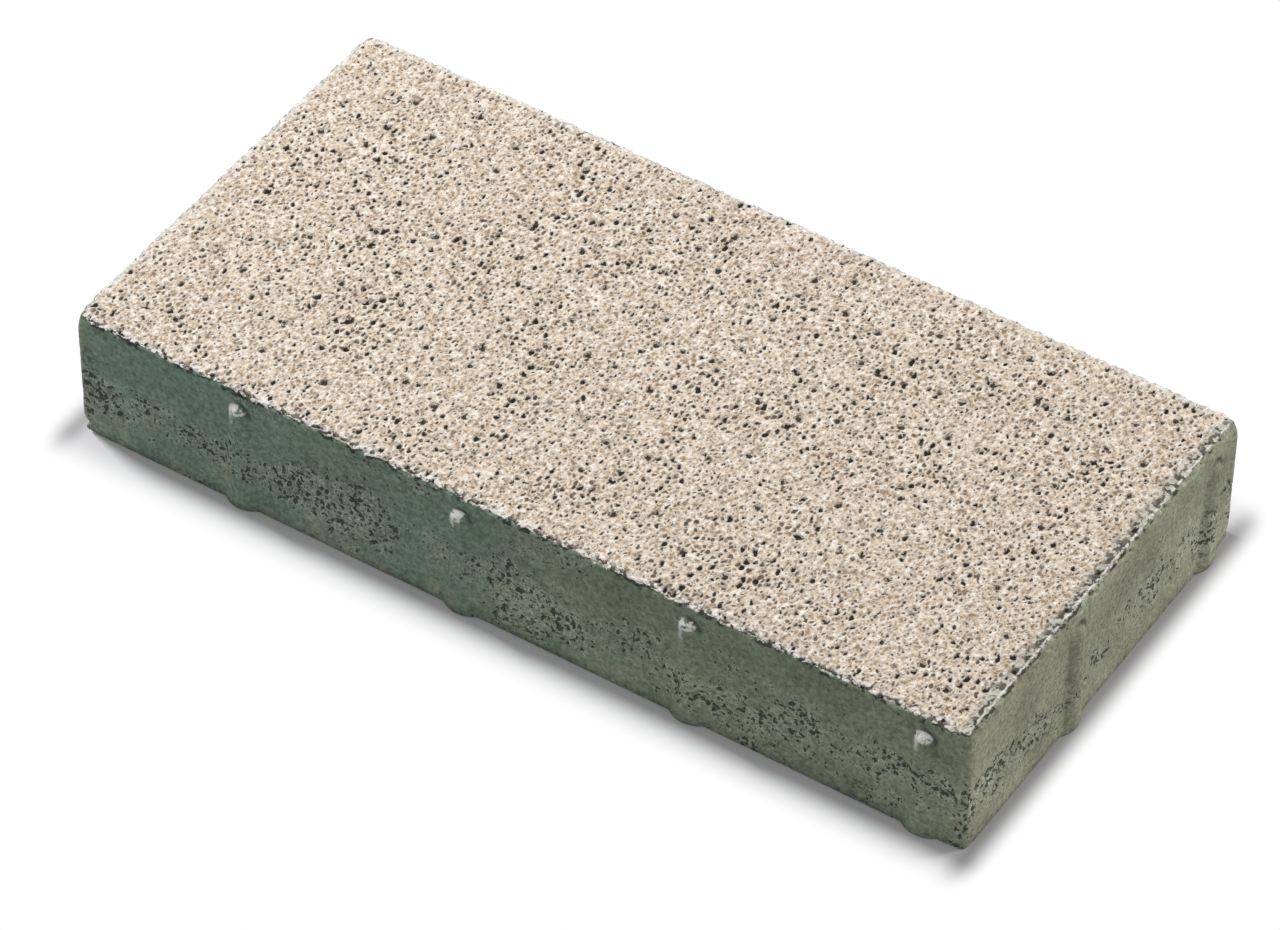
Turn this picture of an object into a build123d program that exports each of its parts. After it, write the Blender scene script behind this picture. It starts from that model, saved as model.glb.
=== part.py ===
import math
import os

from build123d import *

# Driving dimensions of the stone, in millimetres, without its spacer ribs
stone_length = 395.0
stone_width = 195.0
stone_thickness = 60.0
corner_radius = 3.0  # upright corners, as the mould leaves them
arris_radius = 2.0  # edge round the walking face, worn by blasting
bed_edge_radius = 0.8  # edge round the bed face

# Spacer ribs, which keep an even joint between two laid stones
rib_pitch = 100.0  # from rib to rib along a side
rib_end_distance = 19.5  # from a side's right-hand end, seen from outside, to its first rib
rib_foot_width = 15.0
rib_foot_reach = 2.7  # how far the rib stands out of the side at the bed face
rib_head_width = 9.5  # across the ball head
rib_head_reach = 2.3
rib_head_drop = 7.0  # from the walking face down to the crown of the head
rib_root_depth = 1.0  # how far the rib reaches back into the side
rib_blend_radius = 0.6  # hollow between the rib and the side

# Blow holes that blasting opened in the walking face: the wide ones, as the finer ones are texture
hole_pitch = 17.0  # side of the square that each hole has to itself
hole_width = 2.8  # across the widest
hole_floor_inset = 0.7  # how far its walls lean in
hole_depth = 1.2
hole_edge_distance = 8.0  # from the sides to the first squares
hole_sizes = (0.6, 0.8, 1.0)  # shares of the widest

# A rib is a slice of a tapered pin with a ball head, sunk behind the side. The chord of the slice is
# the rib's width and the sagitta is its reach, which together give the pin's radius.
foot_radius = ((rib_foot_width / 2) ** 2 + rib_foot_reach**2) / (2 * rib_foot_reach)
head_radius = ((rib_head_width / 2) ** 2 + rib_head_reach**2) / (2 * rib_head_reach)
head_height = stone_thickness - rib_head_drop - rib_head_width / 2

# The pin leans, so that its thick foot and its thin head reach out about as far as each other
foot_center = Vector(0, rib_foot_reach - foot_radius, 0)
head_center = Vector(0, rib_head_reach - head_radius, head_height)
pin_axis = Axis(foot_center, head_center - foot_center)
pin_run = (head_center - foot_center).length
pin_taper = math.asin((foot_radius - head_radius) / pin_run)  # half the angle of the cone
pin_start = -foot_radius  # below the bed face, where it is cut off again
start_radius = foot_radius / math.cos(pin_taper) - pin_start * math.tan(pin_taper)
neck_radius = head_radius * math.cos(pin_taper)  # where the cone runs into the ball
neck_run = pin_run + head_radius * math.sin(pin_taper)

with BuildPart() as spacer_rib:
    pin_plane = Plane(foot_center, x_dir=(1, 0, 0), z_dir=Vector(1, 0, 0).cross(pin_axis.direction))
    with BuildSketch(pin_plane):
        with BuildLine():
            flank = Polyline((0, pin_start), (start_radius, pin_start), (neck_radius, neck_run))
            ball = TangentArc((neck_radius, neck_run), (0, pin_run + head_radius), tangent=flank % 1)
            Line(ball @ 1, flank @ 0)
        make_face()
    revolve(axis=pin_axis)
    root_plane = Plane(origin=(0, -rib_root_depth, 0), z_dir=(0, 1, 0))
    split(bisect_by=root_plane, keep=Keep.TOP)
    split(bisect_by=Plane.XY, keep=Keep.TOP)

# Each side's plane stands at its right-hand end, seen from outside: x runs left, y points outwards
half_length = stone_length / 2
half_width = stone_width / 2
sides = [
    (Plane((half_length, -half_width, 0), x_dir=(-1, 0, 0), z_dir=(0, 0, 1)), stone_length),
    (Plane((half_length, half_width, 0), x_dir=(0, -1, 0), z_dir=(0, 0, 1)), stone_width),
    (Plane((-half_length, half_width, 0), x_dir=(1, 0, 0), z_dir=(0, 0, 1)), stone_length),
    (Plane((-half_length, -half_width, 0), x_dir=(0, 1, 0), z_dir=(0, 0, 1)), stone_width),
]

# As many ribs as the side has room for, at the same distance from its right-hand end all round,
# so that the ribs of two neighbouring stones pass beside each other
rib_places = []
for side_plane, side_run in sides:
    rib_count = int((side_run - rib_end_distance - rib_foot_width) // rib_pitch) + 1
    for rib_number in range(rib_count):
        distance = rib_end_distance + rib_number * rib_pitch
        rib_places.append(side_plane.location * Pos(distance, 0, 0))

# One blow hole to each square, moved about in it by a fixed rule that leaves no visible order
hole_columns = int((stone_length - 2 * hole_edge_distance) // hole_pitch)
hole_rows = int((stone_width - 2 * hole_edge_distance) // hole_pitch)
hole_places = {size: [] for size in hole_sizes}
for column in range(hole_columns):
    for row in range(hole_rows):
        chance = (0.7549 * column**2 + 0.5698 * row**2 + 0.3247 * column * row) % 1
        across = (column - hole_columns / 2 + 0.2 + 0.6 * (chance * 7 % 1)) * hole_pitch
        along = (row - hole_rows / 2 + 0.2 + 0.6 * (chance * 11 % 1)) * hole_pitch
        size = hole_sizes[int(chance * len(hole_sizes))]
        hole_places[size].append(Pos(across, along, stone_thickness) * Rot(-90, 90 * chance, 0))

with BuildPart() as paving_stone:
    with BuildSketch():
        RectangleRounded(stone_length, stone_width, corner_radius)
    extrude(amount=stone_thickness)

    with Locations(*rib_places):
        add(spacer_rib.part)

    # The hollow round each rib, where it leaves the side
    side_faces = faces().filter_by(GeomType.PLANE).filter_by(Axis.Z, reverse=True)
    rib_roots = side_faces.edges().filter_by(GeomType.LINE, reverse=True)
    fillet(rib_roots, rib_blend_radius)

    walking_face = faces().sort_by(Axis.Z)[-1]
    fillet(walking_face.edges(), arris_radius)
    bed_face = faces().sort_by(Axis.Z)[0]
    fillet(bed_face.edges(), bed_edge_radius)

    # Each hole has few faces: four leaning walls and a floor
    for size, places in hole_places.items():
        width = size * hole_width
        depth = size * hole_depth
        inset = size * hole_floor_inset
        far = width - inset
        upright = (Align.CENTER, Align.MIN, Align.CENTER)
        with Locations(*places):
            Wedge(width, depth, width, inset, inset, far, far, align=upright, mode=Mode.SUBTRACT)

paving_stone.part.label = "paving_stone"
os.makedirs("parts", exist_ok=True)
export_step(paving_stone.part, "parts/paving_stone.step")
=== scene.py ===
import math

import bpy
import numpy as np
from mathutils import Matrix, Vector


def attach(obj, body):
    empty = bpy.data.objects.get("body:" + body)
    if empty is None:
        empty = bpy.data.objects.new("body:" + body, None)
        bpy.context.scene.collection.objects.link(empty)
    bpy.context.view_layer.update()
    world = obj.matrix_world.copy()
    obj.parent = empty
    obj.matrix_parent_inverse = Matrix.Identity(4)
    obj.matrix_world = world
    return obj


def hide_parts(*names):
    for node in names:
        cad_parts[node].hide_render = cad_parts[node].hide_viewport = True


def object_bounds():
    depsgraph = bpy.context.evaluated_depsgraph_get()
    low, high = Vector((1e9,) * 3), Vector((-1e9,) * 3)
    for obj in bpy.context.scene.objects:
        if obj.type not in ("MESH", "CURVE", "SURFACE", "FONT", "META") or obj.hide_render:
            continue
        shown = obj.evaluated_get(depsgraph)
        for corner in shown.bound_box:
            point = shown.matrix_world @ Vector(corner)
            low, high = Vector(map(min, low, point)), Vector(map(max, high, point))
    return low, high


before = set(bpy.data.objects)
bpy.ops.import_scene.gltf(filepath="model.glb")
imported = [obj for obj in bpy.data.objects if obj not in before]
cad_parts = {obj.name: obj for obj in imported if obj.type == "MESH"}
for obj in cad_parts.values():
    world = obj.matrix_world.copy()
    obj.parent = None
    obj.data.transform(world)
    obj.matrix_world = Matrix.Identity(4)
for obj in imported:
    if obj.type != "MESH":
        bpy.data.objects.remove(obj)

cadLow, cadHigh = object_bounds()  # the CAD box, before anything stands in for it
mm = 0.001


class Field:
    # A socket that works in Python expressions: every operator adds one Math node

    def __init__(self, book, socket):
        self.book = book
        self.socket = socket

    def __add__(self, other):
        return self.book.math("ADD", self, other)

    def __radd__(self, other):
        return self.book.math("ADD", other, self)

    def __sub__(self, other):
        return self.book.math("SUBTRACT", self, other)

    def __rsub__(self, other):
        return self.book.math("SUBTRACT", other, self)

    def __mul__(self, other):
        return self.book.math("MULTIPLY", self, other)

    def __rmul__(self, other):
        return self.book.math("MULTIPLY", other, self)

    def __truediv__(self, other):
        return self.book.math("DIVIDE", self, other)

    def __rtruediv__(self, other):
        return self.book.math("DIVIDE", other, self)

    def __pow__(self, other):
        return self.book.math("POWER", self, other)

    def __abs__(self):
        return self.book.math("ABSOLUTE", self)


class NodeBook:
    # Adds nodes to one tree, for shape or for colour, so that both can read the same pattern

    def __init__(self, tree):
        self.tree = tree

    def add(self, kind, settings=None, inputs=None):
        node = self.tree.nodes.new(kind)
        for name, value in (settings or {}).items():
            if name == "stops":
                self.fillRamp(node.color_ramp, value)
            else:
                setattr(node, name, value)
        for name, value in (inputs or {}).items():
            self.plug(node.inputs[name], value)
        return node

    def fillRamp(self, ramp, stops):
        while len(ramp.elements) < len(stops):
            ramp.elements.new(1.0)
        for element, (place, colour) in zip(ramp.elements, stops):
            element.position = place
            element.color = (*colour, 1.0)

    def plug(self, socket, value):
        if isinstance(value, Field):
            self.tree.links.new(value.socket, socket)
        elif isinstance(value, bpy.types.NodeSocket):
            self.tree.links.new(value, socket)
        elif socket.type == "RGBA" and len(value) == 3:
            socket.default_value = (*value, 1.0)
        else:
            socket.default_value = value

    def out(self, node, name=0):
        return Field(self, node.outputs[name])

    def math(self, operation, *terms):
        node = self.add("ShaderNodeMath", {"operation": operation}, dict(enumerate(terms)))
        return self.out(node)

    def least(self, one, other):
        return self.math("MINIMUM", one, other)

    def most(self, one, other):
        return self.math("MAXIMUM", one, other)

    def step(self, value, low, high):  # smooth from 0 at low to 1 at high, either way round
        inputs = {"Value": value, "From Min": low, "From Max": high}
        node = self.add("ShaderNodeMapRange", {"interpolation_type": "SMOOTHSTEP"}, inputs)
        return self.out(node)

    def split(self, vector):
        node = self.add("ShaderNodeSeparateXYZ", inputs={"Vector": vector})
        return [self.out(node, axis) for axis in "XYZ"]

    def vector(self, operation, *terms):
        node = self.add("ShaderNodeVectorMath", {"operation": operation}, dict(enumerate(terms)))
        return self.out(node)

    def scaled(self, vector, factor):
        inputs = {"Vector": vector, "Scale": factor}
        return self.out(self.add("ShaderNodeVectorMath", {"operation": "SCALE"}, inputs))

    def noise(self, point, size, detail=2.0, roughness=0.55, output=0):
        inputs = {"Vector": point, "Scale": 1 / size, "Detail": detail, "Roughness": roughness}
        return self.out(self.add("ShaderNodeTexNoise", inputs=inputs), output)

    def warped(self, point, size, reach):  # the point, pushed about by up to half the reach
        push = self.vector("SUBTRACT", self.noise(point, size, 1.0, 0.5, 1), (0.5, 0.5, 0.5))
        return self.vector("ADD", point, self.scaled(push, reach))

    def cells(self, point, size, flat=False):  # distance in sizes, and three chances
        settings = {"voronoi_dimensions": "2D" if flat else "3D"}
        node = self.add("ShaderNodeTexVoronoi", settings, {"Vector": point, "Scale": 1 / size})
        return self.out(node, "Distance"), self.split(self.out(node, "Color"))

    def between(self, value, start, full, fade, end):  # rises from start to full, falls from fade to end
        return self.step(value, start, full) * self.step(value, end, fade)

    def grey(self, value):
        return self.out(self.add("ShaderNodeCombineColor", inputs={0: value, 1: value, 2: value}))

    def mix(self, factor, one, other, blend="MIX"):  # colours only
        settings = {"data_type": "RGBA", "blend_type": blend}
        node = self.add("ShaderNodeMix", settings, {0: factor, 6: one, 7: other})
        return self.out(node, 2)

    def ramp(self, value, stops):
        return self.out(self.add("ShaderNodeValToRGB", {"stops": stops}, {"Fac": value}))


# The block, in millimetres, taken from the frame apart from its edges and its ribs' reach
ribReachAtBox = 2.672
block = {
    "length": (cadHigh.x - cadLow.x) / mm - 2 * ribReachAtBox,
    "width": (cadHigh.y - cadLow.y) / mm - 2 * ribReachAtBox,
    "thickness": (cadHigh.z - cadLow.z) / mm,
    "cornerRadius": 3.0,
    "arrisRadius": 2.0,
    "bedEdgeRadius": 0.8,
    "meshLong": 314,  # cells of the walking face along the length
    "meshWide": 154,
    "cornerCells": 3,  # finer cells on each side of a corner
    "meshShake": 0.3,  # how far mesh points stray from straight lines
    "arrisRows": 4,
    "wallRows": 38,
    "wallCrowd": 1.5,  # above 1, the rows stand closer near the top
    "bedEdgeRows": 2,
    "bedEvery": 4,  # the bed face keeps one mesh line in this many
}


def gridLines(half, corner, cells, cornerCells):
    fine = np.linspace(0, corner, cornerCells + 1)[:-1]
    middle = np.linspace(-half + corner, half - corner, cells + 1)
    return np.concatenate([-half + fine, middle, (half - fine)[::-1]])


def roundCorners(plan, halves, corner):
    # Pulls the square corners of a flat grid onto arcs; what lies outside the corners stays
    beyond = np.clip((np.abs(plan) - (halves - corner)) / corner, 0, 1)
    bent = beyond * np.sqrt(1 - beyond[..., ::-1] ** 2 / 2)
    inCorner = (beyond > 0).all(-1, keepdims=True)
    return np.where(inCorner, np.sign(plan) * (halves - corner + corner * bent), plan)


def blockMesh(name):
    arris, bedEdge = block["arrisRadius"], block["bedEdgeRadius"]
    inner = block["cornerRadius"] - arris
    halves = np.array([block["length"], block["width"]]) / 2 - arris
    xs = gridLines(halves[0], inner, block["meshLong"], block["cornerCells"])
    ys = gridLines(halves[1], inner, block["meshWide"], block["cornerCells"])
    across, deep = len(xs), len(ys)
    flat = roundCorners(np.stack(np.meshgrid(xs, ys, indexing="ij"), -1), halves, inner)
    shake = np.random.default_rng(5).uniform(-1, 1, flat.shape) * block["meshShake"]
    flat[4:-4, 4:-4] += shake[4:-4, 4:-4]
    top = np.concatenate([flat, np.full((across, deep, 1), block["thickness"])], -1).reshape(-1, 3)
    number = np.arange(across * deep).reshape(across, deep)

    # The rim of the walking face, anticlockwise, and which way it faces
    rim = np.concatenate([number[:-1, 0], number[-1, :-1], number[:0:-1, -1], number[0, :0:-1]])
    beyond = np.abs(top[rim, :2]) - (halves - inner)
    outward = np.where(beyond > 0, beyond, 0) * np.sign(top[rim, :2])
    outward /= np.linalg.norm(outward, axis=1, keepdims=True)

    # Rows from the rim over the arris, down the wall and round the bed edge: (how far out, height)
    rows = []
    for turn in np.linspace(0, math.pi / 2, block["arrisRows"] + 1)[1:]:
        rows.append((arris * math.sin(turn), block["thickness"] - arris + arris * math.cos(turn)))
    for share in np.linspace(0, 1, block["wallRows"] + 1)[1:] ** block["wallCrowd"]:
        rows.append((arris, (block["thickness"] - arris) * (1 - share) + bedEdge * share))
    for turn in np.linspace(0, math.pi / 2, block["bedEdgeRows"] + 1)[1:]:
        rows.append((arris - bedEdge + bedEdge * math.cos(turn), bedEdge - bedEdge * math.sin(turn)))
    points = [top]
    rings = [rim]
    count = len(top)
    for out, height in rows:
        ring = np.concatenate([top[rim, :2] + outward * out, np.full((len(rim), 1), height)], 1)
        points.append(ring)
        rings.append(count + np.arange(len(rim)))
        count += len(rim)

    # The bed face: a coarser grid, joined to the last row by one round of wider faces
    every = block["bedEvery"]
    bed = flat[::every, ::every]
    points.append(np.concatenate([bed, np.zeros((*bed.shape[:2], 1))], -1).reshape(-1, 3))
    low = count + np.arange(bed.shape[0] * bed.shape[1]).reshape(bed.shape[:2])
    lowRim = np.concatenate([low[:-1, 0], low[-1, :-1], low[:0:-1, -1], low[0, :0:-1]])

    faces = []
    quads = np.stack([number[:-1, :-1], number[1:, :-1], number[1:, 1:], number[:-1, 1:]], -1)
    faces += quads.reshape(-1, 4).tolist()
    for upper, lower in zip(rings[:-1], rings[1:]):
        faces += np.stack([upper, lower, np.roll(lower, -1), np.roll(upper, -1)], -1).tolist()
    last = rings[-1]
    for step in range(len(lowRim)):
        edge = [int(last[(step * every + k) % len(last)]) for k in range(every + 1)]
        faces.append(edge[::-1] + [int(lowRim[step]), int(lowRim[(step + 1) % len(lowRim)])])
    quads = np.stack([low[:-1, :-1], low[:-1, 1:], low[1:, 1:], low[1:, :-1]], -1)
    faces += quads.reshape(-1, 4).tolist()

    mesh = bpy.data.meshes.new(name)
    mesh.from_pydata((np.concatenate(points) * mm).tolist(), [], faces)
    mesh.update()
    return mesh


# Sizes of the relief, in millimetres: the named inputs of the Geometry Nodes tree
sizes = {
    "Stone Length": block["length"],
    "Stone Width": block["width"],
    "Stone Thickness": block["thickness"],
    "Rib Pitch": 100.0,
    "Rib End Distance": 19.5,  # from a side's right-hand end, seen from outside, to its first rib
    "Rib Foot Width": 15.0,
    "Rib Foot Reach": 2.7,
    "Rib Head Width": 9.5,
    "Rib Head Reach": 2.3,
    "Rib Head Drop": 7.0,  # from the walking face down to the crown of the head
    "Hole Pitch": 17.0,  # wide blow holes, one to a square, in the same places as in the CAD
    "Hole Width": 3.0,
    "Hole Depth": 1.2,
    "Hole Edge Distance": 8.0,
    "Lump Relief": 0.5,  # from the high places of the walking face down to the low ones
    "Pore Depth": 0.8,  # for a pore of 1 mm radius
    "Arris Wear": 1.3,
    "Corner Wear": 1.2,
    "Chip Depth": 2.2,  # at the lower corner that the photograph shows broken
    "Pit Depth": 0.9,
    "Skin Waves": 0.3,
}

# Patterns that the shape and the colour both read, in millimetres
faceMix = {
    "grain": 1.35,
    "lump": 4.0,  # of the broad unevenness
    "stretch": 0.72,  # below 1, grains and pores are longer across the stone
    "pore": {"spacing": 4.2, "radius": 0.86, "rarity": 2.0, "shift": 0.0},  # high rarity: few large ones
    "dash": {"spacing": 2.5, "radius": 0.66, "rarity": 1.1, "shift": 40.0},  # brown gaps between grains
    "crowd": 24.0,  # of the zones where pores are thick
    "holeRag": 1.5,  # of the notches in a wide hole's mouth, and how deep they go
    "holeRagReach": 2.8,
    "clump": 2.7,  # of the grains along the edge
    "edgeBand": 5.5,  # how wide their band is
    "rimRag": 3.0,  # of the bites in the ragged end of the mix
    "rimFront": 1.0,  # how far over the arris the mix shows on the long sides
    "rimRight": -2.2,  # and on the right-hand side, where the skin comes up over the arris
    "rimWander": 3.2,
}

# Where the wide holes are: the fixed rule that the CAD follows too
holeRule = {
    "columnTurn": 0.7549,
    "rowTurn": 0.5698,
    "crossTurn": 0.3247,
    "acrossTurn": 7,
    "alongTurn": 11,
    "margin": 0.2,  # of a square, which holds no hole's middle
    "room": 0.6,
    "kinds": 3,
    "smallest": 0.6,  # share of the widest
    "growth": 0.2,
}

wallSkin = {
    "pitSpacing": 2.2,
    "pitRadius": 1.25,
    "pitRag": 1.1,
    "zoneSize": 20.0,  # of the zones where the skin is honeycombed
    "low": 2.0,  # heights between which it is honeycombed
    "middle": 20.0,
    "high": 48.0,
    "waves": 9.0,
    "drift": 60.0,  # of the change from cool green to olive
    "cloud": 15.0,
    "mottle": 1.9,
    "blotch": 7.0,
    "patch": 34.0,
    "crack": 16.0,
    "crackZone": 28.0,
}


class Spot:
    # Where a point lies on the stone, in millimetres: its place, and its place on its own side

    def __init__(self, book, point, sizes):
        self.point = point
        self.sizes = sizes
        self.x, self.y, self.z = book.split(point)
        fromLong = sizes["Stone Width"] / 2 - abs(self.y)
        fromShort = sizes["Stone Length"] / 2 - abs(self.x)
        self.inset = book.least(fromLong, fromShort)
        self.depth = sizes["Stone Thickness"] - self.z
        self.over = self.depth - self.inset  # over the arris: below 0 on the face, above 0 on a side
        self.corner = book.step(fromLong + fromShort, 9.0, 1.5)
        self.onLong = book.math("LESS_THAN", fromLong, fromShort)
        onShort = book.step(fromLong - fromShort, -3.0, 3.0)
        self.right = onShort * book.step(self.x, 0.0, 1.0)
        self.left = onShort * book.step(self.x, 0.0, -1.0)
        self.far = book.most(self.left, (1 - onShort) * book.step(self.y, 0.0, 1.0))
        alongLong = sizes["Stone Length"] / 2 + book.math("SIGN", self.y) * self.x
        alongShort = sizes["Stone Width"] / 2 - book.math("SIGN", self.x) * self.y
        along = alongShort + (alongLong - alongShort) * self.onLong
        steps = (along - sizes["Rib End Distance"]) / sizes["Rib Pitch"]
        self.fromRib = (steps - book.math("ROUND", steps)) * sizes["Rib Pitch"]
        headHeight = sizes["Stone Thickness"] - sizes["Rib Head Drop"] - sizes["Rib Head Width"] / 2
        self.aboveHead = self.z - headHeight
        self.headGap = book.math("SQRT", self.fromRib**2 + book.most(self.aboveHead, 0.0) ** 2)


def pinRadius(width, reach):  # of the round pin that shows this width and reach out of a side
    return ((width / 2) ** 2 + reach**2) / (2 * reach)


def ribReach(book, spot):
    # A slice of a tapered pin with a ball head, sunk behind the side
    sizes = spot.sizes
    footRadius = pinRadius(sizes["Rib Foot Width"], sizes["Rib Foot Reach"])
    headRadius = pinRadius(sizes["Rib Head Width"], sizes["Rib Head Reach"])
    share = book.least(spot.z / (spot.z - spot.aboveHead), 1.0)
    radius = footRadius + (headRadius - footRadius) * share
    reach = sizes["Rib Foot Reach"] + (sizes["Rib Head Reach"] - sizes["Rib Foot Reach"]) * share
    pin = book.math("SQRT", book.most(radius**2 - spot.headGap**2, 0.0)) - radius + reach
    return book.math("SMOOTH_MAX", pin, 0.0, 0.35)


def lumpHeight(book, spot):
    return book.noise(spot.point, faceMix["lump"], 2.0)


def grainHeight(book, spot):
    # About 0.5 on average: higher on the tips of the grains, lower in the pits between them
    long = book.vector("MULTIPLY", spot.point, (1.0, faceMix["stretch"], 1.0))
    grain = book.noise(book.warped(long, 2.4, 0.9), faceMix["grain"], 2.0, 0.5)
    return grain + (lumpHeight(book, spot) - 0.5) * 0.2


def wideHoles(book, spot):
    # One to a square, moved about in it by a fixed rule: the gap to the hole's edge, and its size
    sizes = spot.sizes
    pitch = sizes["Hole Pitch"]
    fit = []
    for run, place in (("Stone Length", spot.x), ("Stone Width", spot.y)):
        count = book.math("FLOOR", (sizes[run] - 2 * sizes["Hole Edge Distance"]) / pitch + 0.001)
        steps = place / pitch + count / 2
        number = book.math("FLOOR", steps)
        inside = book.math("LESS_THAN", abs(steps - count / 2), count / 2)
        fit.append((number, steps - number, inside))
    (column, shareX, insideX), (row, shareY, insideY) = fit
    turn = holeRule["columnTurn"] * column * column + holeRule["rowTurn"] * row * row
    chance = book.math("FRACT", turn + holeRule["crossTurn"] * column * row)
    placeX = holeRule["margin"] + holeRule["room"] * book.math("FRACT", chance * holeRule["acrossTurn"])
    placeY = holeRule["margin"] + holeRule["room"] * book.math("FRACT", chance * holeRule["alongTurn"])
    offX = (shareX - placeX) * pitch
    offY = (shareY - placeY) * pitch
    kind = book.math("FLOOR", chance * holeRule["kinds"])
    share = (holeRule["smallest"] + holeRule["growth"] * kind) * insideX * insideY
    size = sizes["Hole Width"] / 2 * share
    ragged = (book.noise(spot.point, faceMix["holeRag"], 2.0) - 0.5) * faceMix["holeRagReach"]
    return book.math("SQRT", offX * offX + offY * offY) + ragged - size, size


def crowding(book, spot):
    # Pores are thicker in some zones than in others
    return 0.7 + 0.6 * book.step(book.noise(spot.point, faceMix["crowd"], 2.0), 0.3, 0.7)


def pores(book, spot, crowd, kind):
    # Small hollows: a mask, the gap to the edge, the size and a chance for each
    moved = book.vector("ADD", spot.point, (kind["shift"], kind["shift"] * 0.7, 0.0))
    loose = book.warped(book.vector("MULTIPLY", moved, (1.0, faceMix["stretch"], 1.0)), 1.9, 2.0)
    away, chances = book.cells(loose, kind["spacing"], flat=True)
    size = kind["radius"] * chances[0] ** kind["rarity"] * crowd
    gap = away * kind["spacing"] - size
    return book.step(gap, 0.16, -0.16) * book.step(size, 0.15, 0.32), gap, size, chances[1]


def rimLine(book, spot):
    # How far a point lies past the end of the face mix, which is ragged and retreats at the corners
    wander = (book.noise(spot.point, faceMix["rimRag"], 2.0, 0.6) - 0.5) * 2 * faceMix["rimWander"]
    wander = wander * (1 - 0.6 * spot.right)
    line = faceMix["rimFront"] + (faceMix["rimRight"] - faceMix["rimFront"]) * spot.right
    return spot.over - line - wander + spot.corner * 3.5


def pitMask(book, spot):
    # Honeycombed zones in the lower part of a side, where the skin didn't close
    wide = book.vector("MULTIPLY", spot.point, (0.7, 0.7, 1.2))
    zone = book.noise(wide, wallSkin["zoneSize"], 3.0, 0.6)
    high = book.between(spot.z, wallSkin["low"], wallSkin["middle"], wallSkin["middle"], wallSkin["high"])
    foot = book.step(spot.corner, 0.0, 0.5) * book.step(spot.z, 30.0, 14.0)  # worse at the foot of a corner
    zone = book.step(zone + 0.2 * high + 0.15 * foot - 0.06 * spot.right, 0.46, 0.76)
    away, chances = book.cells(book.warped(spot.point, 1.4, 2.6), wallSkin["pitSpacing"])
    gap = away * wallSkin["pitSpacing"] - wallSkin["pitRadius"] * chances[0] ** 0.7 * zone
    fine = book.noise(spot.point, wallSkin["pitRag"], 1.0)
    return book.step(gap + fine * 0.8 - 0.4, 0.3, -0.3), zone, gap


def wearDepth(book, spot):
    # How far the arris and the corners are worn back, and one broken corner
    sizes = spot.sizes
    ragged = book.step(book.noise(spot.point, 2.6, 2.0, 0.6), 0.38, 0.68)
    onArris = book.between(spot.over, -4.0, -0.5, 0.5, 3.5)
    worn = onArris * ragged * sizes["Arris Wear"]
    rounded = spot.corner * (book.step(spot.depth, 9.0, 0.0) + book.step(spot.z, 7.0, 1.0) * 0.6)
    worn = worn + rounded * sizes["Corner Wear"]
    offX = spot.x + sizes["Stone Length"] / 2
    offY = spot.y + sizes["Stone Width"] / 2
    chip = book.math("SQRT", offX * offX + offY * offY + spot.z * spot.z)
    return worn + book.step(chip, 7.0, 2.0) * sizes["Chip Depth"]


def reliefDepth(book, spot):
    sizes = spot.sizes
    low = book.step(lumpHeight(book, spot), 0.7, 0.3)
    pore, _, size, _ = pores(book, spot, crowding(book, spot), faceMix["pore"])
    away, width = wideHoles(book, spot)
    hole = book.step(away, 0.3, -0.6) * width / sizes["Hole Width"] * 2
    onFace = book.step(rimLine(book, spot), 0.35, -0.35)
    faceDepth = low * sizes["Lump Relief"] + pore * size * sizes["Pore Depth"]
    faceDepth = book.most(faceDepth, hole * sizes["Hole Depth"])
    pit, _, _ = pitMask(book, spot)
    waves = book.noise(spot.point, wallSkin["waves"], 2.0)
    wallDepth = waves * sizes["Skin Waves"] + pit * sizes["Pit Depth"]
    offBed = book.step(spot.z, 0.2, 1.6)  # the stone still lies flat on its bed
    depth = faceDepth * onFace + wallDepth * (1 - onFace)
    return depth * offBed + wearDepth(book, spot) * book.step(spot.z, 0.0, 0.4)


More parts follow.
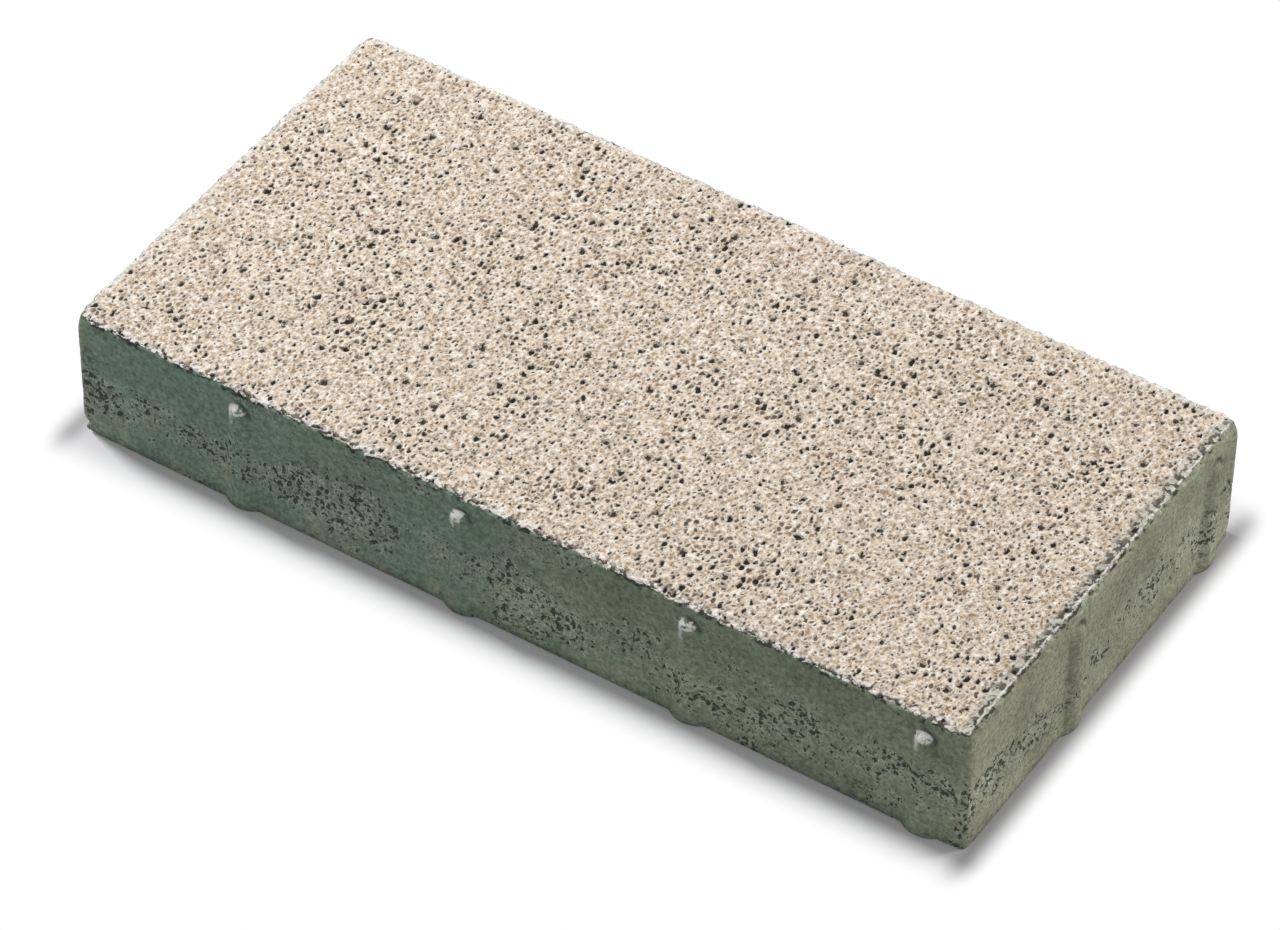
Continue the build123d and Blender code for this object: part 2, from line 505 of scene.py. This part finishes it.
def reliefTree(material):
    tree = bpy.data.node_groups.new("castRelief", "GeometryNodeTree")
    tree.interface.new_socket("Geometry", in_out="INPUT", socket_type="NodeSocketGeometry")
    identifiers = {}
    for name in sizes:
        socket = tree.interface.new_socket(name, in_out="INPUT", socket_type="NodeSocketFloat")
        identifiers[name] = socket.identifier
    tree.interface.new_socket("Geometry", in_out="OUTPUT", socket_type="NodeSocketGeometry")
    book = NodeBook(tree)
    source = book.add("NodeGroupInput")
    place = book.out(book.add("GeometryNodeInputPosition"))

    # The place on the plain block stays with each point, so that the colours follow the relief
    settings = {"data_type": "FLOAT_VECTOR", "domain": "POINT"}
    inputs = {"Geometry": source.outputs["Geometry"], "Name": "castPoint"}
    inputs["Value"] = book.scaled(place, 1 / mm)
    stored = book.add("GeometryNodeStoreNamedAttribute", settings, inputs)
    settings = {"data_type": "FLOAT_VECTOR"}
    named = book.add("GeometryNodeInputNamedAttribute", settings, {"Name": "castPoint"})
    given = {name: book.out(source, name) for name in sizes}
    spot = Spot(book, book.out(named, "Attribute"), given)

    # Ribs stand out of the sides
    onWall = book.math("LESS_THAN", spot.inset, block["bedEdgeRadius"] + 0.1)
    reach = ribReach(book, spot) * onWall * mm
    alongX = reach * book.math("SIGN", spot.x) * (1 - spot.onLong)
    alongY = reach * book.math("SIGN", spot.y) * spot.onLong
    outward = book.add("ShaderNodeCombineXYZ", inputs={"X": alongX, "Y": alongY})
    inputs = {"Geometry": stored.outputs["Geometry"], "Offset": outward.outputs["Vector"]}
    ribbed = book.add("GeometryNodeSetPosition", inputs=inputs)

    # The relief goes inwards only, so the stone stays inside its mould
    depth = reliefDepth(book, spot) * mm
    normal = book.out(book.add("GeometryNodeInputNormal"))
    inputs = {"Geometry": ribbed.outputs["Geometry"], "Offset": book.scaled(normal, 0 - depth)}
    carved = book.add("GeometryNodeSetPosition", inputs=inputs)
    whole = book.add("GeometryNodeRealizeInstances", inputs={"Geometry": carved.outputs["Geometry"]})
    inputs = {"Geometry": whole.outputs["Geometry"], "Material": material}
    painted = book.add("GeometryNodeSetMaterial", inputs=inputs)
    target = book.add("NodeGroupOutput")
    tree.links.new(painted.outputs["Geometry"], target.inputs["Geometry"])
    return tree, identifiers


concrete = {
    "brown": (0.27, 0.20, 0.14),
    "tan": (0.45, 0.345, 0.25),
    "beige": (0.62, 0.497, 0.38),
    "peach": (0.76, 0.625, 0.495),
    "pale": (0.88, 0.78, 0.665),
    "tip": (1.0, 0.96, 0.90),
    "dash": (0.15, 0.105, 0.072),
    # Painted shade inside pores and blow holes, and the darkest dashes
    "pore": (0.026, 0.020, 0.014),
    "edgeTip": (1.0, 0.97, 0.91),
    # Dark gaps along the edge, also the painted shadow below the ragged end of the face mix
    "edgeGap": (0.042, 0.048, 0.039),
    "edgeGrey": (0.56, 0.56, 0.49),
    "skinCool": (0.244, 0.341, 0.268),
    "skinOlive": (0.307, 0.365, 0.257),
    "skinWarm": (0.430, 0.446, 0.327),
    "skinPale": (0.47, 0.47, 0.35),
    # Painted highlight on the lips of the pits
    "lipHighlight": (0.54, 0.59, 0.49),
    # Painted shade in the pits, dark cracks, and the painted shadow and shade on the ribs
    "pit": (0.070, 0.092, 0.073),
    # Scuffed pale and painted highlight on the rib heads
    "scuffAndHighlight": (1.0, 1.0, 0.97),
    "roughness": 0.92,
}


def faceColour(book, spot):
    # Peach grains with near-white tips, brown dashes between them, and pores and blow holes painted
    # near-black as the shade inside them
    height = grainHeight(book, spot)
    stops = [(0.32, concrete["brown"]), (0.40, concrete["tan"]), (0.46, concrete["beige"]),
             (0.54, concrete["peach"]), (0.62, concrete["pale"]), (0.69, concrete["tip"])]
    face = book.ramp(height, stops)
    crowd = crowding(book, spot)
    pore, gap, _, _ = pores(book, spot, crowd, faceMix["pore"])
    dash, space, _, dark = pores(book, spot, crowd, faceMix["dash"])
    away, width = wideHoles(book, spot)
    hole = book.step(away + 0.25, 0.15, -0.25) * book.step(width, 0.7, 1.0)
    gap = book.least(gap, away + book.step(width, 0.5, 0.1) * 9)
    # Painted highlight: pale rims round the pores and dashes, where their lips would catch the light
    poreRimHighlight = book.most(book.between(gap, 0.1, 0.35, 0.6, 1.2), book.between(space, 0.1, 0.3, 0.4, 0.8))
    face = book.mix(poreRimHighlight * 0.4, face, concrete["tip"])
    brown = book.mix(book.step(dark, 0.6, 1.0), concrete["dash"], concrete["pore"])
    face = book.mix(dash * 0.95, face, brown)

    # Towards the edge the grains are whiter and the gaps deeper; on the right-hand side they turn grey
    clump = book.noise(spot.point, faceMix["clump"], 2.0, 0.5) - 0.03 * spot.right
    clump = book.step(clump, 0.44, 0.51)
    tips = book.mix(spot.right, concrete["edgeTip"], concrete["edgeGrey"])
    edge = book.mix(book.most(clump, spot.far * 0.7), concrete["edgeGap"], tips)
    ragged = spot.over + spot.right * 4.0 + (book.noise(spot.point, 6.0, 2.0) - 0.5) * 7
    face = book.mix(book.step(ragged, -faceMix["edgeBand"], 0.0) * 0.88, face, edge)
    # Painted highlight: a bright broken line along the lit arris on the right-hand side
    line = book.between(spot.over, -3.7, -3.2, -2.8, -2.3)  # a bright broken line on the right-hand side
    line = line * book.step(book.noise(spot.point, 1.7, 2.0), 0.42, 0.5)
    face = book.mix(line * spot.right * 0.7, face, concrete["edgeTip"])
    sunk = book.most(book.step(gap, 0.7, -0.3), book.step(space, 0.5, -0.3) * 0.6)  # holes with their lips
    # Painted shade: pores and wide holes near-black, as the shade inside them
    face = book.mix(book.most(pore, hole * 0.95), face, concrete["pore"])
    return face, height, sunk


def skinColour(book, spot):
    # Cement skin: cool grey-green drifting to olive, with pale clouds low down, pits and cracks; the pits
    # are painted dark as their shade and their lips get painted highlights
    drift = spot.x / block["length"] + (book.noise(spot.point, wallSkin["drift"], 1.0) - 0.5) * 0.6
    skin = book.mix(book.step(drift, -0.45, 0.45), concrete["skinCool"], concrete["skinOlive"])
    hidden = book.most(book.step(spot.y, -50.0, 50.0), spot.left) * 0.8  # from the camera
    skin = book.mix(book.most(spot.right, hidden), skin, concrete["skinWarm"])
    cloud = book.step(book.noise(spot.point, wallSkin["cloud"], 3.0), 0.45, 0.7)
    skin = book.mix(cloud * book.step(spot.z, 40.0, 12.0) * 0.5, skin, concrete["skinPale"])
    pit, zone, gap = pitMask(book, spot)
    # Painted highlight: pale lips round the pits, where light would catch them
    pitLipHighlight = book.between(gap, -0.1, 0.3, 0.4, 1.0)
    skin = book.mix(zone * pitLipHighlight * 0.75, skin, concrete["lipHighlight"])
    # The upright corners are paler: partly dust and wear, partly painted highlight on their rounding
    skin = book.mix(spot.corner * book.step(spot.depth, 2.0, 8.0) * 0.35, skin, concrete["skinPale"])
    mottle = book.noise(spot.point, wallSkin["mottle"], 3.0, 0.65)
    blotch = (book.noise(spot.point, wallSkin["blotch"], 2.0) - 0.5) * 0.35
    patch = (book.noise(spot.point, wallSkin["patch"], 1.0) - 0.5) * 0.5
    shade = (0.05 + mottle * 1.9) * (1 + (blotch + patch) * (1 + 0.8 * spot.right))
    darkAbove = 1 - 0.10 * book.step(spot.z, 26.0, 50.0)
    # Painted shade: darker towards the bed, where the stone meets the floor
    footShade = 0.72 + 0.28 * book.step(spot.z, 0.0, 5.0)
    shade = shade * darkAbove * footShade
    skin = book.mix(1.0, skin, book.grey(shade), "MULTIPLY")
    flat = book.vector("MULTIPLY", spot.point, (0.7, 0.7, 1.5))
    crack = book.step(abs(book.noise(flat, wallSkin["crack"], 4.0, 0.6) - 0.5), 0.014, 0.004)
    cracked = book.step(book.noise(spot.point, wallSkin["crackZone"], 1.0), 0.52, 0.62)
    # Pits are painted dark as the shade inside them; cracks are dark lines
    hollow = book.most(pit, crack * cracked * book.step(spot.z, 50.0, 42.0) * 0.7)
    return book.mix(hollow * 0.92, skin, concrete["pit"]), pit, mottle


def ribScuffsAndPaintedLight(book, spot, skin):
    # Rib heads on the long sides: a pale patch on the left of the crown, partly scuffed wear and partly
    # painted highlight, a painted highlight down that side and a painted shadow round the upper right of
    # the head; ribs on the right-hand side get painted shade on the side that faces the viewer
    half = sizes["Rib Head Width"] / 2
    patchy = book.step(book.noise(spot.point, 2.2, 2.0, 0.6), 0.38, 0.49)
    left = spot.fromRib + 0.1
    up = spot.aboveHead - half * 0.5
    # The pale patch on the crown: partly scuffed wear, partly painted highlight where the crown would catch
    # the light
    capScuffAndHighlight = book.step(left * left / 18 + up * up / 7, 1.0, 0.5) * patchy * spot.onLong
    # Painted highlight down the left-hand side of each head
    flankHighlight = book.between(spot.fromRib, half - 4.4, half - 3.0, half - 2.0, half - 0.8)
    flankHighlight = flankHighlight * book.between(spot.aboveHead, -7.0, -2.0, 0.5, 2.5) * patchy * spot.onLong * 0.6
    # Painted shadow in a ring round the upper right of each head
    ring = book.between(spot.headGap, half - 1.2, half + 0.1, half + 0.7, half + 2.2)
    shadow = ring * book.step(spot.aboveHead, -3.0, 2.0) * book.step(spot.fromRib, half * 0.6, -half * 0.5)
    # Painted shade on the side of each rib that faces the viewer, on the right-hand side of the stone
    frontFlankShade = book.between(spot.fromRib, 0.0, 3.0, 6.0, 10.0) * book.step(spot.z, 52.0, 34.0) * spot.right
    skin = book.mix(book.most(shadow * 0.85, frontFlankShade * 0.15), skin, concrete["pit"])
    return book.mix(book.most(capScuffAndHighlight, flankHighlight) * 0.95, skin, concrete["scuffAndHighlight"])


def roughShader(book, colour, height):
    normal = book.add("ShaderNodeBump", inputs={"Strength": 1.0, "Distance": mm, "Height": height})
    inputs = {"Base Color": colour, "Roughness": concrete["roughness"], "Normal": normal.outputs["Normal"]}
    inputs["Specular IOR Level"] = 0.25
    return book.add("ShaderNodeBsdfPrincipled", inputs=inputs).outputs["BSDF"]


def concreteMaterial():
    material = bpy.data.materials.new("castConcrete")
    material.use_nodes = True
    tree = material.node_tree
    tree.nodes.clear()
    book = NodeBook(tree)
    attribute = book.add("ShaderNodeAttribute", {"attribute_name": "castPoint"})
    spot = Spot(book, book.out(attribute, "Vector"), sizes)
    face, height, sunk = faceColour(book, spot)
    skin, pit, mottle = skinColour(book, spot)
    skin = ribScuffsAndPaintedLight(book, spot, skin)

    # Dark gaps hang just below the ragged end of the face mix: partly dark gaps, partly painted shadow of
    # that rough edge
    past = rimLine(book, spot)
    rimGapShade = book.between(past, -0.8, 0.1, 1.1, 2.5)
    rimGapShade = rimGapShade * book.step(book.noise(spot.point, 3.8, 2.0), 0.46, 0.53)
    skin = book.mix(rimGapShade * (0.92 - 0.7 * spot.far), skin, concrete["edgeGap"])
    onFace = book.step(past, 0.3, -0.3)
    onSides = roughShader(book, skin, mottle * 0.5 - pit * 0.7)
    onTop = roughShader(book, face, height * 1.2 - sunk * 0.8)
    both = book.add("ShaderNodeMixShader", inputs={0: onFace, 1: onSides, 2: onTop})
    target = book.add("ShaderNodeOutputMaterial")
    tree.links.new(both.outputs[0], target.inputs["Surface"])
    return material


def makeStone():
    material = concreteMaterial()
    blank = bpy.data.objects.new("stoneBlank", blockMesh("stoneBlank"))
    bpy.context.scene.collection.objects.link(blank)
    tree, identifiers = reliefTree(material)
    modifier = blank.modifiers.new("castRelief", "NODES")
    modifier.node_group = tree
    for name, identifier in identifiers.items():
        modifier[identifier] = sizes[name]
    graph = bpy.context.evaluated_depsgraph_get()
    mesh = bpy.data.meshes.new_from_object(blank.evaluated_get(graph), depsgraph=graph)
    blank.modifiers.remove(modifier)
    bpy.data.objects.remove(blank)
    mesh.name = "pavingStone"
    mesh.shade_smooth()
    stone = bpy.data.objects.new("pavingStone", mesh)
    bpy.context.scene.collection.objects.link(stone)
    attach(stone, "root")
    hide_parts("paving_stone")
    return stone


stone = makeStone()
stone.data.calc_loop_triangles()
print("stone:", len(stone.data.vertices), "points,", len(stone.data.loop_triangles), "triangles")

studio = {
    "floorSize": 8.0,
    "floorBounce": 0.40,  # what the floor gives back to the stone; the camera sees it white
    "shadeFrom": 0.5 * mm,  # how far from the stone its shadow starts to fade, and where it ends
    "shadeTo": 19 * mm,
    "shadeLead": 2 * mm,  # how much farther it stays dark off the long sides
    "shadeNarrow": 1.6,  # how much sooner it ends off the short sides
    # Near the stone the floor's colour is darkened as painted shadow, most off the short sides
    "shadeTint": (0.78, 0.775, 0.80),
    "shadeEnds": (0.42, 0.42, 0.435),  # off the short sides, which the lamps reach
    "fill": 0.42,
    "keyPower": 16.8,
    "keyFrom": (-1.0, 0.10, 1.42),
    "keySize": 0.22,
    "sidePower": 9.9,
    "sideFrom": (1.15, 1.1, 0.9),
    "sideSize": 0.4,
    "sideColour": (1.0, 0.96, 0.90),
}


def makeFloor():
    half = studio["floorSize"] / 2
    mesh = bpy.data.meshes.new("studioFloor")
    corners = [(-half, -half, 0), (half, -half, 0), (half, half, 0), (-half, half, 0)]
    mesh.from_pydata(corners, [], [(0, 1, 2, 3)])
    floor = bpy.data.objects.new("studioFloor", mesh)
    bpy.context.scene.collection.objects.link(floor)
    material = bpy.data.materials.new("studioFloor")
    material.use_nodes = True
    tree = material.node_tree
    tree.nodes.clear()
    book = NodeBook(tree)
    dull = book.add("ShaderNodeBsdfDiffuse", inputs={"Color": [studio["floorBounce"]] * 3})

    # The camera sees the floor's shade close to the stone, the lamps' shadow on a floor colour darkened as
    # painted shadow, and plain white farther off
    x, y, z = book.split(book.add("ShaderNodeTexCoord").outputs["Object"])
    offX = book.most(abs(x) - block["length"] / 2 * mm, 0.0) * studio["shadeNarrow"]
    offY = book.most(abs(y) - block["width"] / 2 * mm - studio["shadeLead"], 0.0)
    away = book.step(book.math("SQRT", offX * offX + offY * offY), studio["shadeFrom"], studio["shadeTo"])
    # Painted shadow: a darker floor colour off the short sides, where the lamps leave little real shadow
    beyondEnd = book.step(abs(x) / mm - block["length"] / 2, -6.0, 4.0)
    paintedShadeTint = book.mix(beyondEnd, studio["shadeTint"], studio["shadeEnds"])
    shaded = book.add("ShaderNodeBsdfDiffuse", inputs={"Color": paintedShadeTint})
    white = book.add("ShaderNodeEmission", inputs={"Color": (1.0, 1.0, 1.0), "Strength": 1.0})
    plain = book.add("ShaderNodeMixShader", inputs={0: away, 1: shaded.outputs[0], 2: white.outputs[0]})
    path = book.add("ShaderNodeLightPath")
    seen = book.most(book.out(path, "Is Camera Ray"), book.out(path, "Is Glossy Ray"))
    seen = book.most(seen, book.out(path, "Is Transmission Ray"))
    both = book.add("ShaderNodeMixShader", inputs={0: seen, 1: dull.outputs[0], 2: plain.outputs[0]})
    target = book.add("ShaderNodeOutputMaterial")
    tree.links.new(both.outputs[0], target.inputs["Surface"])
    mesh.materials.append(material)


def makeWorld():
    world = bpy.data.worlds.new("studio")
    bpy.context.scene.world = world
    world.use_nodes = True
    tree = world.node_tree
    tree.nodes.clear()
    book = NodeBook(tree)
    path = book.add("ShaderNodeLightPath")
    strength = studio["fill"] + (1 - studio["fill"]) * book.out(path, "Is Camera Ray")
    sky = book.add("ShaderNodeBackground", inputs={"Color": (1.0, 1.0, 1.0), "Strength": strength})
    target = book.add("ShaderNodeOutputWorld")
    tree.links.new(sky.outputs[0], target.inputs["Surface"])


def makeLamp(name, place, size, power, colour=(1.0, 1.0, 1.0)):
    lamp = bpy.data.lights.new(name, "AREA")
    lamp.size = size
    lamp.energy = power
    lamp.color = colour
    holder = bpy.data.objects.new(name, lamp)
    holder.location = place
    holder.rotation_euler = Vector(place).to_track_quat("Z", "Y").to_euler()
    bpy.context.scene.collection.objects.link(holder)


makeFloor()
makeWorld()
makeLamp("keyLamp", studio["keyFrom"], studio["keySize"], studio["keyPower"])
makeLamp("sideLamp", studio["sideFrom"], studio["sideSize"], studio["sidePower"], studio["sideColour"])
print("studio: floor, world and two lamps")

photo = {
    "width": 1280,
    "height": 930,
    "azimuth": 32.576,
    "elevation": 44.785,
    "roll": 0.770,
    "distance": 2.4528,
    "focalPixels": 6428.0,
    "target": (-0.00807, 0.00391, 0.0),
}


def makeCamera():
    turn, rise, roll = (math.radians(photo[name]) for name in ("azimuth", "elevation", "roll"))
    back = Vector((math.sin(turn) * math.cos(rise), -math.cos(turn) * math.cos(rise), math.sin(rise)))
    right = Vector((0, 0, 1)).cross(back).normalized()
    up = back.cross(right)
    tiltedRight = math.cos(roll) * right + math.sin(roll) * up
    tiltedUp = math.cos(roll) * up - math.sin(roll) * right
    data = bpy.data.cameras.new("photoCamera")
    data.sensor_fit = "HORIZONTAL"
    data.lens = photo["focalPixels"] / photo["width"] * data.sensor_width
    camera = bpy.data.objects.new("photoCamera", data)
    axes = Matrix((tiltedRight, tiltedUp, back)).transposed()
    place = Vector(photo["target"]) + back * photo["distance"]
    camera.matrix_world = Matrix.Translation(place) @ axes.to_4x4()
    bpy.context.scene.collection.objects.link(camera)
    bpy.context.scene.camera = camera


makeCamera()
bpy.context.scene.view_settings.view_transform = "Standard"
print("camera: in place")
